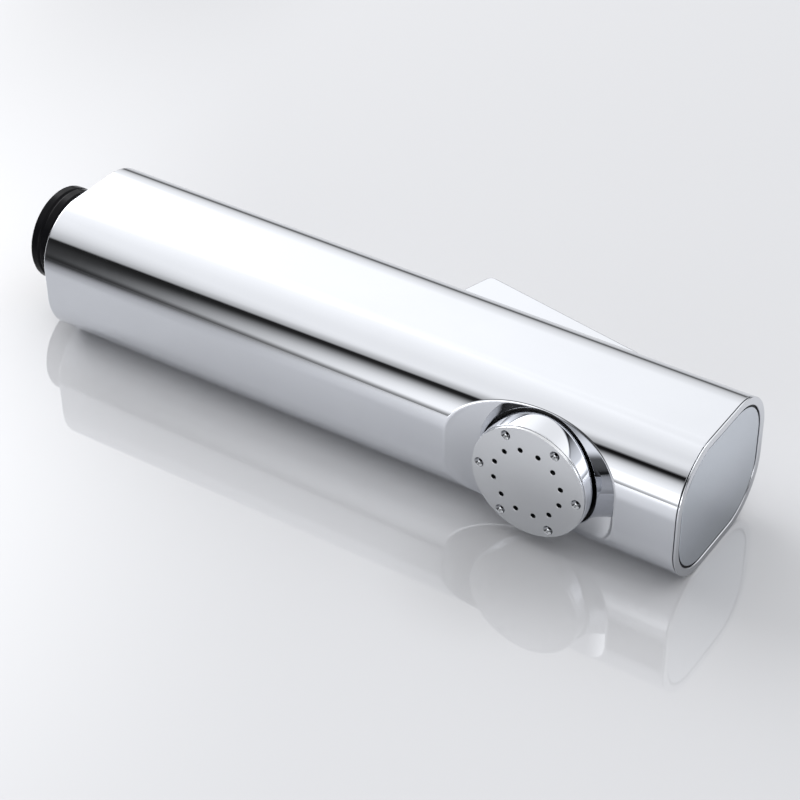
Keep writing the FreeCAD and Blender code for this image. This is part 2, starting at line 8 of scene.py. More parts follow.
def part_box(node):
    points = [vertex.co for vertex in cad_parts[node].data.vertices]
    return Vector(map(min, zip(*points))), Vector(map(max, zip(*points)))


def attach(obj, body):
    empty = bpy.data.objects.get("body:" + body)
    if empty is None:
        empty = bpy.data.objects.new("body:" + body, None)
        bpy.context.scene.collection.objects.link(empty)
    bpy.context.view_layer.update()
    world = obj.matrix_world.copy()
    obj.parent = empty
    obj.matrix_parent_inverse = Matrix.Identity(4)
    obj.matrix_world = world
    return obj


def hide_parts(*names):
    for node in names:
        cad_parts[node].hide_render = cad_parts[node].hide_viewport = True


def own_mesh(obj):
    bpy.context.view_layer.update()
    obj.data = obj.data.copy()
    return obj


# A chrome handheld bath sprayer that lies on its flank on a pale, glossy table.
# +X runs from the inlet to the closed end, -Y is the spray side, +Y the lever's side, +Z is up.
# Shapes are made in millimetres and brought to metres as they are finished. Points closer than
# weld_reach millimetres become one.

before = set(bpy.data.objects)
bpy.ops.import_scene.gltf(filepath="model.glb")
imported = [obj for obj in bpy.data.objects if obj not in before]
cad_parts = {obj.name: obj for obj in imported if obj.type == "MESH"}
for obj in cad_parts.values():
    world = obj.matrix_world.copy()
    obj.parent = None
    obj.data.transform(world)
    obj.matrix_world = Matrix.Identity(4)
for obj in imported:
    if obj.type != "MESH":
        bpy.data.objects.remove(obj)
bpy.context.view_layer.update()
MM = 0.001
weld_reach = 1e-4


def corners(node):
    low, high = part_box(node)
    return low / MM, high / MM


# Handle: a rounded-square section. A place on it is given by its distance round from the middle of
# the spray side.
shell_low, shell_high = corners("body_shell")
half_depth = shell_high.y
half_width = shell_high.z
corner = 14.0
top_flat = half_depth - corner
side_flat = half_width - corner
quarter = corner * math.pi / 2
half_way = 2 * (side_flat + top_flat + quarter)
corner_steps = 24
wall = 2.2
inlet_wall = 2.5
inlet_edge = 0.5
neck_edge = 0.25
seam_edge = 0.2
rabbet = 1.2
rabbet_depth = 3.0

# Slot in the lever's side
slot_start = 106.6
slot_end = 166.6
slot_half = 9.9
slot_edge = 0.25

# Scoop round the spray face: a round cut about an upright axis, with a thicker wall behind it
spray_low, spray_high = corners("spray_plate")
nozzle_x = (spray_low.x + spray_high.x) / 2
scoop_x = nozzle_x - 0.75
scoop_radius = 43.5
scoop_floor = -14.85
scoop_back = -13.8
scoop_softness = 0.42
scoop_points = 240
back_half_length = 24.2
back_half_height = half_width - 2.4
back_corner = 12.5
hole_radius = 15.1
hole_end = -12.2

# Closed end: a rim with a step and a spigot, the plate in it, and a web for the two screws
rim_low, rim_high = corners("end_bezel")
plate_low, plate_high = corners("end_plate")
rim_width = 2.0
rim_edge = 0.3
fit = 0.15
spigot_wall = 1.5
spigot_edge = 0.2
plate_gap = 0.35
seam_gap = 0.18
web_reach = 2.0
web_front = rim_high.x - 3.0
web_back = rim_high.x - 5.0
screw_y = -3.5
screw_z = 8.0
screw_hole = 1.5

# Inlet: a collar round a threaded insert
_, collar_high = corners("inlet_collar")
_, insert_high = corners("inlet_insert")
neck_bore = 11.05
insert_bore = 11.45
thread_root = 10.4775
thread_crest = 9.3155
thread_pitch = 1.814
thread_length = 11.0

# Spray cup and face
cup_low, cup_high = corners("nozzle_cup")
cup_cavity = 13.4
cup_web = 2.2
face_edge_y = -22.05
face_lip_y = -21.4
face_spigot = 13.35
small_holes = 12
small_hole_ring = 8.77
small_hole = 0.65
jets = 6
jet_ring = 12.5
jet_mouth = 1.2
jet_bore = 0.4
jet_depth = 0.8
pattern_turn = -2.4

# Lever and copied pieces: the lever's rounding, and the turn from which an edge is sharp
lever_edge = 0.7
sharp_angle = math.radians(35)

# Table, in metres: its size, how far in front reflections see its end, and its tint
table_radius = 4.0
table_front = 0.2
table_tint = (0.966, 0.972, 1.0, 1)

# Camera: its bearing, height and roll, its place and its lens in millimetres
view_azimuth = math.radians(33.84)
view_elevation = math.radians(37.64)
view_roll = math.radians(-0.61)
view_place = Vector((341.29, -353.77, 317.12)) * MM
view_lens = 100.66

# Colour of the plating on the handle, rim, cup and lever
plating = (0.685, 0.70, 0.733)


def link(obj):
    bpy.context.scene.collection.objects.link(obj)
    return obj


def as_object(bm, name):
    """An object that holds the mesh, smooth all over."""
    mesh = bpy.data.meshes.new(name)
    bm.to_mesh(mesh)
    bm.free()
    mesh.polygons.foreach_set("use_smooth", [True] * len(mesh.polygons))
    return link(bpy.data.objects.new(name, mesh))


class Maker:
    """A mesh in the making, whose vertices carry a flat place and the way they face."""

    def __init__(self):
        self.bm = bmesh.new()
        self.flat = self.bm.verts.layers.float_vector.new("flat")
        self.facing = self.bm.verts.layers.float_vector.new("facing")

    def loop(self, places):
        """A closed line of vertices from (point, facing, flat place)."""
        verts = []
        for point, facing, flat in places:
            vert = self.bm.verts.new(point)
            vert[self.facing] = facing
            vert[self.flat] = flat
            verts.append(vert)
        return [self.bm.edges.new((verts[i - 1], verts[i])) for i in range(len(verts))]

    def carry_on(self, edges, places):
        """Extrudes open edges through a row of places, each a function of a vertex's flat place that gives
        its point and facing. Returns the last open edges."""
        for place in places:
            made = bmesh.ops.extrude_edge_only(self.bm, edges=edges)["geom"]
            for item in made:
                if isinstance(item, bmesh.types.BMVert):
                    item.co, item[self.facing] = place(item[self.flat])
            edges = [e for e in made if isinstance(e, bmesh.types.BMEdge) and e.is_boundary]
        return edges

    def open_edges(self, test):
        return [e for e in self.bm.edges if e.is_boundary and all(test(v) for v in e.verts)]

    def fill(self, edges):
        bmesh.ops.triangle_fill(self.bm, use_beauty=True, edges=edges)

    def bridge(self, first, second):
        bmesh.ops.bridge_loops(self.bm, edges=first + second)

    def weld(self):
        bmesh.ops.remove_doubles(self.bm, verts=self.bm.verts, dist=weld_reach)

    def cut_at(self, point, normal):
        whole = self.bm.verts[:] + self.bm.edges[:] + self.bm.faces[:]
        bmesh.ops.bisect_plane(self.bm, geom=whole, dist=weld_reach / 10, plane_co=point, plane_no=normal)

    def turn(self, profile, centre, axis, steps, rise=0.0, turns=1):
        """Turns a closed profile of ((along, radius), (facing along, facing out)) about an axis. A rise for
        each turn makes a helix with capped ends."""
        centre, axis = Vector(centre), Vector(axis)
        side = Vector((0, 0, 1))
        verts = []
        for (along, radius), (way_along, way_out) in profile:
            vert = self.bm.verts.new(centre + axis * along + side * radius)
            vert[self.flat] = (way_along, way_out, 1)
            verts.append(vert)
        made = verts + [self.bm.edges.new((verts[i - 1], verts[i])) for i in range(len(verts))]
        if rise:
            made.append(self.bm.faces.new(verts))
        count = round(steps * turns)
        bmesh.ops.spin(self.bm, geom=made, cent=centre, axis=axis, angle=2 * math.pi * turns, steps=count,
                       dvec=axis * (rise * turns / count), use_merge=not rise)
        for vert in self.bm.verts:
            way_along, way_out, fresh = vert[self.flat]
            if fresh:
                out = vert.co - centre
                out = (out - axis * out.dot(axis)).normalized()
                vert[self.facing] = axis * way_along + out * way_out
                vert[self.flat] = (0, 0, 0)

    def finish(self, name):
        """Brings the mesh to metres and gives each vertex its exact facing."""
        self.weld()
        bmesh.ops.recalc_face_normals(self.bm, faces=self.bm.faces)
        bmesh.ops.scale(self.bm, vec=(MM, MM, MM), verts=self.bm.verts)
        ways = [Vector(v[self.facing]) for v in self.bm.verts]
        layers = self.bm.verts.layers.float_vector
        for layer in ("flat", "facing"):
            layers.remove(layers[layer])
        made = as_object(self.bm, name)
        made.data.normals_split_custom_set_from_vertices(ways)
        return made


def softened(points, softness=0.1, steps=3, open_line=False):
    """Rounds a line's corners. A point is (along, out) or (along, out, softness), and the solid lies on the
    right of the line as it runs. A corner takes up to just under half of each of its two runs. Gives
    (place, facing) pairs in (along, out)."""
    share = 0.49
    made = []
    last = len(points) - 1
    for i, point in enumerate(points):
        here = Vector(point[:2])
        before = here - Vector(points[i - 1][:2])
        after = Vector(points[(i + 1) % len(points)][:2]) - here
        if open_line and i in (0, last):
            way = (after if i == 0 else before).normalized()
            made.append((here, Vector((-way.y, way.x))))
            continue
        own_softness = point[2] if len(point) > 2 else softness
        leg = min(own_softness, share * before.length, share * after.length)
        first, second = before.normalized(), after.normalized()
        weight = math.sqrt((1 + first.dot(second)) / 2)
        for k in range(steps + 1):
            t = k / steps
            a, b, c = (1 - t) ** 2, 2 * t * (1 - t) * weight, t ** 2
            place = ((here - first * leg) * a + here * b + (here + second * leg) * c) / (a + b + c)
            way = first.lerp(second, t).normalized()
            made.append((place, Vector((-way.y, way.x))))
    return made


def section(around, inset=0.0):
    """Point and outward facing of the handle's section, in (y, z), at a distance round and an inset."""
    s = abs(around)
    side = -1.0 if around < 0 else 1.0
    first = min(max((s - side_flat) / quarter, 0.0), 1.0)
    second = min(max((s - side_flat - quarter - 2 * top_flat) / quarter, 0.0), 1.0)
    turn = (first + second) * math.pi / 2
    facing = Vector((-math.cos(turn), math.sin(turn)))
    y = -top_flat + min(max(s - side_flat - quarter, 0.0), 2 * top_flat)
    z = min(s, side_flat) - max(s - side_flat - 2 * quarter - 2 * top_flat, 0.0)
    point = Vector((y, z)) + facing * (corner - inset)
    return Vector((point.x, side * point.y)), Vector((facing.x, side * facing.y))


def on_handle(x, around, inset=0.0, along=0.0, out=1.0):
    """Place on the handle at x, facing partly along +X and partly outward."""
    point, facing = section(around, inset)
    return Vector((x, *point)), Vector((along, out * facing.x, out * facing.y))


def section_stops():
    """Distances round at which the section's facets meet."""
    starts = (side_flat, side_flat + quarter + 2 * top_flat)
    half = [start + quarter * i / corner_steps for start in starts for i in range(corner_steps + 1)]
    return [-s for s in reversed(half)] + half


def around_at(z, inset=0.0):
    """Distance round to height z on the spray side."""
    rise = abs(z) - side_flat
    if rise <= 0:
        return z
    return math.copysign(side_flat + corner * math.asin(min(rise / (corner - inset), 1.0)), z)


def skin_y(z, inset=0.0):
    return section(around_at(z, inset), inset)[0].x


def scoop_y(x):
    return scoop_floor - scoop_radius + math.sqrt(scoop_radius ** 2 - (x - scoop_x) ** 2)


def in_scoop(x, z):
    return scoop_y(x) > skin_y(z)


def in_back(x, z):
    x = abs(x - scoop_x) - back_half_length + back_corner
    z = abs(z) - back_half_height + back_corner
    return math.hypot(max(x, 0.0), max(z, 0.0)) + min(max(x, z), 0.0) < back_corner


def reach_of(inside, angle):
    """Distance from the spray axis, in one direction, to the edge of a shape."""
    halvings = 34
    low, high = 0.0, back_half_length + 5
    for _ in range(halvings):
        middle = (low + high) / 2
        within = inside(nozzle_x + middle * math.cos(angle), middle * math.sin(angle))
        low, high = (middle, high) if within else (low, middle)
    return low


@functools.lru_cache(maxsize=None)
def scoop_cut(angle):
    """Sharp-edged cut through the scoop in one direction, as (distance from the spray axis, y) points from
    the skin over the rim, along the scoop and into the hole. Then the rim's distance from the axis, and the
    distances along the cut of the rim, the hole's edge and the end."""
    steps, skin_step, blend, least_wall = 8, 0.2, 0.3, 1.0
    rise = math.sin(angle)
    oval = reach_of(in_scoop, angle)
    rim = (oval + hole_radius + math.sqrt((oval - hole_radius) ** 2 + blend ** 2)) / 2
    line = []
    for i in range(steps, -1, -1):
        reach = rim + skin_step * i
        line.append(Vector((reach, skin_y(reach * rise))))
    for i in range(1, steps + 1):
        reach = rim + (hole_radius - rim) * i / steps
        line.append(Vector((reach, max(scoop_y(nozzle_x + reach * math.cos(angle)), skin_y(reach * rise)))))
    inner_y = skin_y(reach_of(in_back, angle) * rise, wall)
    line.append(Vector((hole_radius, max(scoop_back, min(hole_end, inner_y - least_wall)))))
    lengths = [0.0]
    for a, b in zip(line, line[1:]):
        lengths.append(lengths[-1] + (b - a).length)
    return line, rim, (lengths[steps], lengths[-2], lengths[-1])


def walked(line, end):
    """Sum of a line's points up to a distance along it, which may lie past its ends."""
    total = Vector((0.0, 0.0))
    done = 0.0
    for i, (a, b) in enumerate(zip(line, line[1:])):
        length = (b - a).length
        step = end - done if i == len(line) - 2 else min(length, end - done)
        total += (a + (b - a) * (step / (2 * max(length, 1e-9)))) * step
        done += length
        if done >= end:
            break
    return total


def scoop_point(angle, at):
    """Point a distance along the cut, whose corners are softened by averaging it over a short reach."""
    line, rim, (rim_at, hole_at, _) = scoop_cut(angle)
    soft = scoop_softness
    if rim_at + soft < at < hole_at - soft:
        reach = rim + (hole_radius - rim) * (at - rim_at) / (hole_at - rim_at)
        place = Vector((reach, scoop_y(nozzle_x + reach * math.cos(angle))))
    else:
        place = (walked(line, at + soft) - walked(line, at - soft)) / (2 * soft)
    return Vector((nozzle_x + place.x * math.cos(angle), place.y, place.x * math.sin(angle)))


@functools.lru_cache(maxsize=None)
def scoop_stops(angle):
    """Distances along the cut of the scoop's rings, each a little past the last where they would meet."""
    _, _, (rim_at, hole_at, end_at) = scoop_cut(angle)
    soft = scoop_softness
    spread = (-1.0, -0.66, -0.33, 0.0, 0.33, 0.66, 1.0)
    steps, apart, before, past = 6, 0.002, 0.2, 0.05
    stops = [at + soft * k for at in (rim_at, hole_at) for k in spread]
    flat = hole_at - rim_at - 2 * soft
    stops += [rim_at + soft + flat * i / steps for i in range(1, steps)]
    stops = [stop + apart * i for i, stop in enumerate(sorted(stops))]
    return [rim_at - soft - before] + stops + [end_at + past]


def scoop_ring(index):
    """Place of the scoop's rings, by a vertex's flat place."""
    def place(flat):
        angle = math.atan2(section(flat[1])[0].y, flat[0] - nozzle_x)
        at = scoop_stops(angle)[index]
        little, turn = 0.02, 0.002
        along = scoop_point(angle, at + little) - scoop_point(angle, at - little)
        onward, backward = [scoop_point(angle + t, scoop_stops(angle + t)[index]) for t in (turn, -turn)]
        return scoop_point(angle, at), (onward - backward).cross(along).normalized()
    return place


def wall_sheet(maker, start, end, depth, slot_grow, hole):
    """Fills one side of the unrolled wall between its outline, notched for the slot, and its hole."""
    notch = half_way - abs(around_at(slot_half + slot_grow, depth))
    first, last = slot_start - slot_grow, slot_end + slot_grow
    half = [(start, -half_way), (first, -half_way), (first, -notch), (last, -notch), (last, -half_way),
            (end, -half_way)]
    edges = []
    for line in (half + [(x, -a) for x, a in reversed(half)], hole):
        edges += maker.loop([((x, a, depth), (0, 0, 0), (x, a, depth)) for x, a in line])
    maker.fill(edges)


def section_ring(x, inset, along, out):
    return lambda flat: on_handle(x, flat[1], inset, along, out)


def rounded_end(x, edge, steps, way):
    """Rings that round an end of the handle's skin, way being -1 at the inlet and 1 at the closed end."""
    rings = []
    for i in range(1, steps + 1):
        turn = math.pi / 2 * i / steps
        along, out = math.sin(turn), math.cos(turn)
        rings.append(section_ring(x + way * edge * along, edge * (1 - out), way * along, out))
    return rings


def neck_ring(x, radius, along, out):
    """A round ring at the inlet, by a vertex's flat place."""
    def place(flat):
        way = section(flat[1])[0].normalized()
        return Vector((x, *(way * radius))), Vector((along, out * way.x, out * way.y))
    return place


def slot_ring(t):
    """A ring of the lever slot's rounded edge, t from 0 on the skin to 1 on the slot's wall."""
    def place(flat):
        point, out = on_handle(flat[0], flat[1])
        x = min(max(point.x, slot_start), slot_end)
        z = min(max(point.z, -slot_half), slot_half)
        edge = Vector((x, -skin_y(z), z))
        inside = Vector((edge.x - point.x, 0, edge.z - point.z)).normalized()
        low = edge - Vector((0, slot_edge, 0))
        here = point * (1 - t) ** 2 + edge * (2 * t * (1 - t)) + low * t ** 2
        return here, out.lerp(inside, t).normalized()
    return place


def behind_scoop(flat):
    """Place on the outline of the thicker wall behind the scoop."""
    clear = 0.05
    angle = math.atan2(section(flat[1])[0].y, flat[0] - nozzle_x)
    reach = reach_of(in_back, angle)
    y = max(scoop_back, skin_y(reach * math.sin(angle), wall) + clear)
    return Vector((nozzle_x + reach * math.cos(angle), y, reach * math.sin(angle))), Vector((0, 1, 0))


def handle_shell():
    """The chrome handle: outer and inner skin, lever slot, scoop, spray hole and both ends."""
    maker = Maker()
    rim_line, back_line = [], []
    for i in range(scoop_points):
        angle = 2 * math.pi * i / scoop_points
        point = scoop_point(angle, scoop_stops(angle)[0])
        rim_line.append((point.x, around_at(point.z)))
        reach = reach_of(in_back, angle)
        back_line.append((nozzle_x + reach * math.cos(angle), around_at(reach * math.sin(angle), wall)))
    start, end = shell_low.x, shell_high.x
    outer_start, outer_end = start + inlet_edge, end - seam_edge
    inner_start, inner_end = start + inlet_wall, end - rabbet_depth
    wall_sheet(maker, outer_start, outer_end, 0.0, slot_edge, rim_line)
    wall_sheet(maker, inner_start, inner_end, wall, 0.0, back_line)
    for stop in section_stops():
        maker.cut_at((0, stop, 0), (0, 1, 0))
    for vert in maker.bm.verts:
        vert[maker.flat] = vert.co
        x, around, depth = vert.co
        vert.co, vert[maker.facing] = on_handle(x, around, depth, out=-1.0 if depth > 0 else 1.0)
    maker.weld()

    def edges_at(end_x):
        """The outer skin's open edges at one end."""
        def test(vert):
            x, _, inset = vert[maker.flat]
            return abs(x - end_x) < 0.01 and inset < 0.1
        return maker.open_edges(test)

    def edges_within(depth, low, high, lever_side):
        """The open edges of one skin's slot or hole."""
        def test(vert):
            x, around, inset = vert[maker.flat]
            sided = (abs(around) > half_way / 2) == lever_side
            return abs(inset - depth) < 0.1 and low + 1 < x < high - 1 and sided
        return maker.open_edges(test)

    inner_slot, inner_hole = [edges_within(wall, inner_start, inner_end, side) for side in (True, False)]
    outer_slot, outer_hole = [edges_within(0, outer_start, outer_end, side) for side in (True, False)]

    neck = softened([(start, neck_bore + 1), (start, neck_bore, neck_edge), (inner_start, neck_bore)],
                    neck_edge, steps=4, open_line=True)
    rings = rounded_end(outer_start, inlet_edge, 5, -1)
    rings += [neck_ring(*place, -way.x, -way.y) for place, way in neck[1:]]
    rings += [section_ring(inner_start, wall, 0.0, -1.0)]
    maker.carry_on(edges_at(outer_start), rings)
    rings = rounded_end(outer_end, seam_edge, 3, 1)
    rings += [section_ring(end, rabbet, 1.0, 0.0), section_ring(inner_end, rabbet, 0.0, -1.0),
              section_ring(inner_end, wall, 0.0, -1.0)]
    maker.carry_on(edges_at(outer_end), rings)

    maker.bridge(maker.carry_on(outer_slot, [slot_ring(t) for t in (0.33, 0.66, 1.0)]), inner_slot)
    rings = [scoop_ring(i) for i in range(1, len(scoop_stops(0.0)))] + [behind_scoop]
    maker.bridge(maker.carry_on(outer_hole, rings), inner_hole)
    return maker.finish("handle_shell")


def swept(maker, profile):
    """Sweeps an open profile of ((x, inset), (facing along, facing inward)) round the handle's section."""
    rings = [section_ring(*place, way.x, -way.y) for place, way in profile]
    stops = section_stops()
    opening = maker.loop([(*rings[0]((0, s, 0)), (0, s, 0)) for s in stops])
    return opening, maker.carry_on(opening, rings[1:])


def screw_circle(maker, x, z, facing):
    steps = 32
    circle = []
    for i in range(steps):
        turn = 2 * math.pi * i / steps
        point = (x, screw_y + screw_hole * math.cos(turn), z + screw_hole * math.sin(turn))
        circle.append((point, facing, (0, 0, 0)))
    return maker.loop(circle)


def closed_end_rim():
    """The chrome rim that closes the handle, with its step, its spigot and the web for the screws. A layer
    marks the recesses that get painted shade and duller plating, which are the seam and the gap round the
    plate."""
    maker = Maker()
    dull_recess_and_painted_shade = maker.bm.verts.layers.float.new("dull_recess_and_painted_shade")
    face, seam, step = rim_high.x, shell_high.x, shell_high.x - rabbet_depth + fit
    lip = seam + seam_gap
    spigot_out, spigot_in = wall + fit, wall + fit + spigot_wall
    web_edge = spigot_in + web_reach
    profile = softened([
        (web_front, web_edge), (web_front, spigot_in), (seam, spigot_in), (seam, rim_width),
        (face, rim_width, rim_edge), (face, 0.0, rim_edge), (lip, 0.0, rim_edge / 2), (lip, rabbet + fit),
        (step, rabbet + fit), (step, spigot_out), (rim_low.x, spigot_out, spigot_edge),
        (rim_low.x, spigot_in, spigot_edge), (web_back, spigot_in), (web_back, web_edge)],
        steps=4, open_line=True)
    front, back = swept(maker, profile)
    sides = ((web_front, front, Vector((1, 0, 0))), (web_back, back, Vector((-1, 0, 0))))
    circles = [[screw_circle(maker, x, z, way) for z in (-screw_z, screw_z)] for x, _, way in sides]
    for (_, outline, _), pair in zip(sides, circles):
        maker.fill(outline + pair[0] + pair[1])
    for first, second in zip(*circles):
        maker.bridge(first, second)
    # Painted shade: vertices deep in the seam and in the gap round the plate are marked to be darkened.
    skin_depth, face_depth = 0.2, rim_edge + 0.05
    for vert in maker.bm.verts:
        skin, _ = section(vert[maker.flat][1])
        depth = (vert.co.yz - skin).length
        vert[dull_recess_and_painted_shade] = depth > skin_depth and vert.co.x < face - face_depth
    return maker.finish("closed_end_rim")


def closed_end_plate():
    """The satin plate in the rim, with its shallow boss behind. It is swept up to a middle outline on each
    side, which is filled."""
    maker = Maker()
    inset = half_depth - plate_high.y + plate_gap
    boss_inset = wall + fit + spigot_wall + 0.12
    middle = 12.0
    edge = 0.14
    profile = softened([
        (plate_high.x, middle), (plate_high.x, inset, edge), (shell_high.x, inset),
        (shell_high.x, boss_inset), (plate_low.x, boss_inset), (plate_low.x, middle)],
        steps=4, open_line=True)
    for edges in swept(maker, profile):
        maker.fill(edges)
    return maker.finish("closed_end_plate")


def turned_piece(name, points, centre, axis):
    maker = Maker()
    maker.turn(softened(points), centre, axis, steps=128)
    return maker.finish(name)


def inlet_grip():
    """The glossy black collar: a bead that runs into a broad band, a crease, a second band and a waist."""
    radius = collar_high.z
    bead = 1.35
    crease, crease_radius = (2.35, 2.75, 3.1), radius - 0.42
    waist, waist_radius = (5.3, 5.85, 6.6, 7.1), radius - 0.6
    back, back_radius = collar_high.x, radius - 0.35
    shoulder = thread_length + 0.05
    return turned_piece("inlet_grip", [
        (0, insert_bore, 0.25), (0, radius, bead), (crease[0], radius, 0.35),
        (crease[1], crease_radius, 0.25), (crease[2], radius, 0.3), (waist[0], radius, 0.35),
        (waist[1], waist_radius, 0.3), (waist[2], waist_radius, 0.3), (waist[3], back_radius, 0.2),
        (back, back_radius, 0.2), (back, neck_bore), (shoulder, neck_bore), (shoulder, insert_bore)],
        (0, 0, 0), (1, 0, 0))


def threaded_insert():
    """The brass insert with its pipe thread."""
    maker = Maker()
    washer_seat, washer_end, throat, sleeve = 9.15, 13.6, 6.7, 10.0
    mouth, end_chamfer = 0.45, 0.6
    maker.turn(softened([
        (0, thread_root + mouth, 0.08), (0, insert_high.z, 0.12), (thread_length, insert_high.z),
        (thread_length, sleeve), (insert_high.x, sleeve, 0.3), (insert_high.x, throat, 0.2),
        (washer_end, throat), (washer_end, washer_seat, 0.05), (thread_length, washer_seat, 0.15),
        (thread_length - end_chamfer, thread_root, 0.05), (mouth, thread_root, 0.08)]),
        (0, 0, 0), (1, 0, 0), steps=96)
    half_foot, half_crest = 0.46 * thread_pitch, 0.1 * thread_pitch
    foot_radius = thread_root + 0.03
    run_out = 1.0
    first = mouth + half_foot
    ridge = [(first - half_foot, foot_radius), (first + half_foot, foot_radius),
             (first + half_crest, thread_crest, 0.15), (first - half_crest, thread_crest, 0.15)]
    turns = (thread_length - run_out - first - half_foot) / thread_pitch
    maker.turn(softened(ridge, 0.01), (0, 0, 0), (1, 0, 0), 64, thread_pitch, turns)
    return maker.finish("threaded_insert")


def spray_cup():
    """The chrome cup behind the spray face."""
    radius = cup_high.z
    neck = 9.05
    web_y = cup_high.y - cup_web
    return turned_piece("spray_cup", [
        (cup_high.y, neck, 0.2), (web_y, neck), (web_y, cup_cavity), (cup_low.y, cup_cavity, 0.15),
        (cup_low.y, radius, 0.2), (cup_high.y, radius, 0.7)], (nozzle_x, 0, 0), (0, 1, 0))


def face_front(u, v):
    """Front of the domed spray face, at a place across it."""
    bulge = face_edge_y - spray_low.y
    return spray_low.y + bulge * (u * u + v * v) / spray_high.z ** 2


def face_openings():
    """The face's outline, its small holes and its jets, in that order. Each has its place across the face,
    its profile, the steps round it, and 1 where the metal is inside it or -1 where it is outside."""
    depth = spray_high.y - spray_low.y
    radius = spray_high.z
    beside = 0.5
    lip = (face_lip_y - face_edge_y) * depth / (spray_high.y - face_edge_y)
    outline = [(0, radius - beside), (0, radius, 0.16), (lip, radius, 0.08),
               (lip, face_spigot), (depth, face_spigot, 0.2), (depth, face_spigot - beside)]
    small = [(0, small_hole + beside), (0, small_hole, 0.09),
             (depth, small_hole, 0.05), (depth, small_hole + beside)]
    jet = [(0, jet_mouth + beside), (0, jet_mouth, 0.07), (0.75 * jet_depth, 0.6 * jet_mouth, 0.4),
           (jet_depth, jet_bore, 0.05), (depth, jet_bore, 0.05), (depth, jet_bore + beside)]
    openings = [(0.0, 0.0, outline, 144, 1)]
    for count, ring, turn, profile, steps in ((small_holes, small_hole_ring, 15, small, 20),
                                              (jets, jet_ring, 0, jet, 24)):
        for i in range(count):
            angle = math.radians(pattern_turn + turn + 360 * i / count)
            openings.append((ring * math.cos(angle), ring * math.sin(angle), profile, steps, -1))
    return openings


def face_ring(centre, place, way, side):
    """A ring of an opening, by a vertex's flat place across the face."""
    depth = spray_high.y - spray_low.y

    def put(flat):
        out = (Vector(flat[:2]) - centre).normalized()
        u, v = centre + out * place.y
        front = face_front(*flat[:2])
        y = front + place.x * (spray_high.y - front) / depth
        return Vector((nozzle_x + u, y, v)), Vector((way.y * out.x, way.x, way.y * out.y)) * side
    return put


def spray_face():
    """The satin spray face: a ring of small holes, six jets in hollows that a layer marks as polished and
    darkened with painted shade, a thin rim and a spigot. Its front is filled flat, cut into cells and then
    domed."""
    maker = Maker()
    polish_and_painted_shade = maker.bm.verts.layers.float.new("polish_and_painted_shade")
    openings = face_openings()
    loops = []
    for index, (u, v, profile, steps, _) in enumerate(openings):
        reach = softened(profile, open_line=True)[1][0].y
        turns = [2 * math.pi * i / steps for i in range(steps)]
        places = [(u + reach * math.cos(t), v + reach * math.sin(t)) for t in turns]
        loops += maker.loop([((a, b, index), (0, 0, 0), (a, b, index)) for a, b in places])
    for vert in maker.bm.verts:
        vert.co.z = 0
    maker.fill(loops)
    cell = 2.0
    cells = int(spray_high.z / cell)
    for k in range(-cells, cells + 1):
        maker.cut_at((cell * k, 0, 0), (1, 0, 0))
        maker.cut_at((0, cell * k, 0), (0, 1, 0))
    bulge = 2 * (face_edge_y - spray_low.y) / spray_high.z ** 2
    for vert in maker.bm.verts:
        u, v = vert.co.x, vert.co.y
        index = vert[maker.flat][2]
        vert[maker.flat] = (u, v, index)
        vert.co = (nozzle_x + u, face_front(u, v), v)
        vert[maker.facing] = Vector((bulge * u, -1, bulge * v)).normalized()

    back = []
    front = set(maker.bm.verts)
    fresh = [e for e in maker.bm.edges if e.is_boundary]
    for index, (u, v, profile, _, side) in enumerate(openings):
        edges = [e for e in fresh if all(abs(vert[maker.flat][2] - index) < 0.01 for vert in e.verts)]
        rows = softened(profile, open_line=True)[2:-1]
        back += maker.carry_on(edges, [face_ring(Vector((u, v)), place, way, side) for place, way in rows])
    first_jet = 1 + small_holes
    # The jets' hollows are marked for a higher polish and for painted shade.
    for vert in maker.bm.verts:
        vert[polish_and_painted_shade] = vert not in front and vert[maker.flat][2] > first_jet - 0.5
    maker.fill(back)
    return maker.finish("spray_face")


def copied(node, name, whole_faces=False):
    """A merged copy of a CAD node's mesh, either smooth but for its edges, or smooth throughout with each
    flat face in one piece, ready to have its edges rounded."""
    bm = bmesh.new()
    bm.from_mesh(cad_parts[node].data)
    bmesh.ops.remove_doubles(bm, verts=bm.verts, dist=1e-6)
    if whole_faces:
        bmesh.ops.dissolve_limit(bm, angle_limit=math.radians(0.5), verts=bm.verts, edges=bm.edges,
                                 delimit={"NORMAL"})
    made = as_object(bm, name)
    if not whole_faces:
        made.data.set_sharp_from_angle(angle=sharp_angle)
    return made


def squeeze_lever():
    """The chrome lever, with its edges rounded."""
    lever = copied("lever", "squeeze_lever", whole_faces=True)
    edges = lever.modifiers.new("rounded_edges", "BEVEL")
    edges.width = lever_edge * MM
    edges.segments = 6
    edges.limit_method = "ANGLE"
    edges.angle_limit = sharp_angle
    edges.use_clamp_overlap = False
    shading = lever.modifiers.new("even_shading", "WEIGHTED_NORMAL")
    shading.weight = 100
    shading.keep_sharp = False
    return lever


def shortens(spring, axis):
    """Gives a spring its own copy of its mesh. The axis, against which its fixed end lies, is not used."""
    axis = Vector(axis)
    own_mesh(spring)


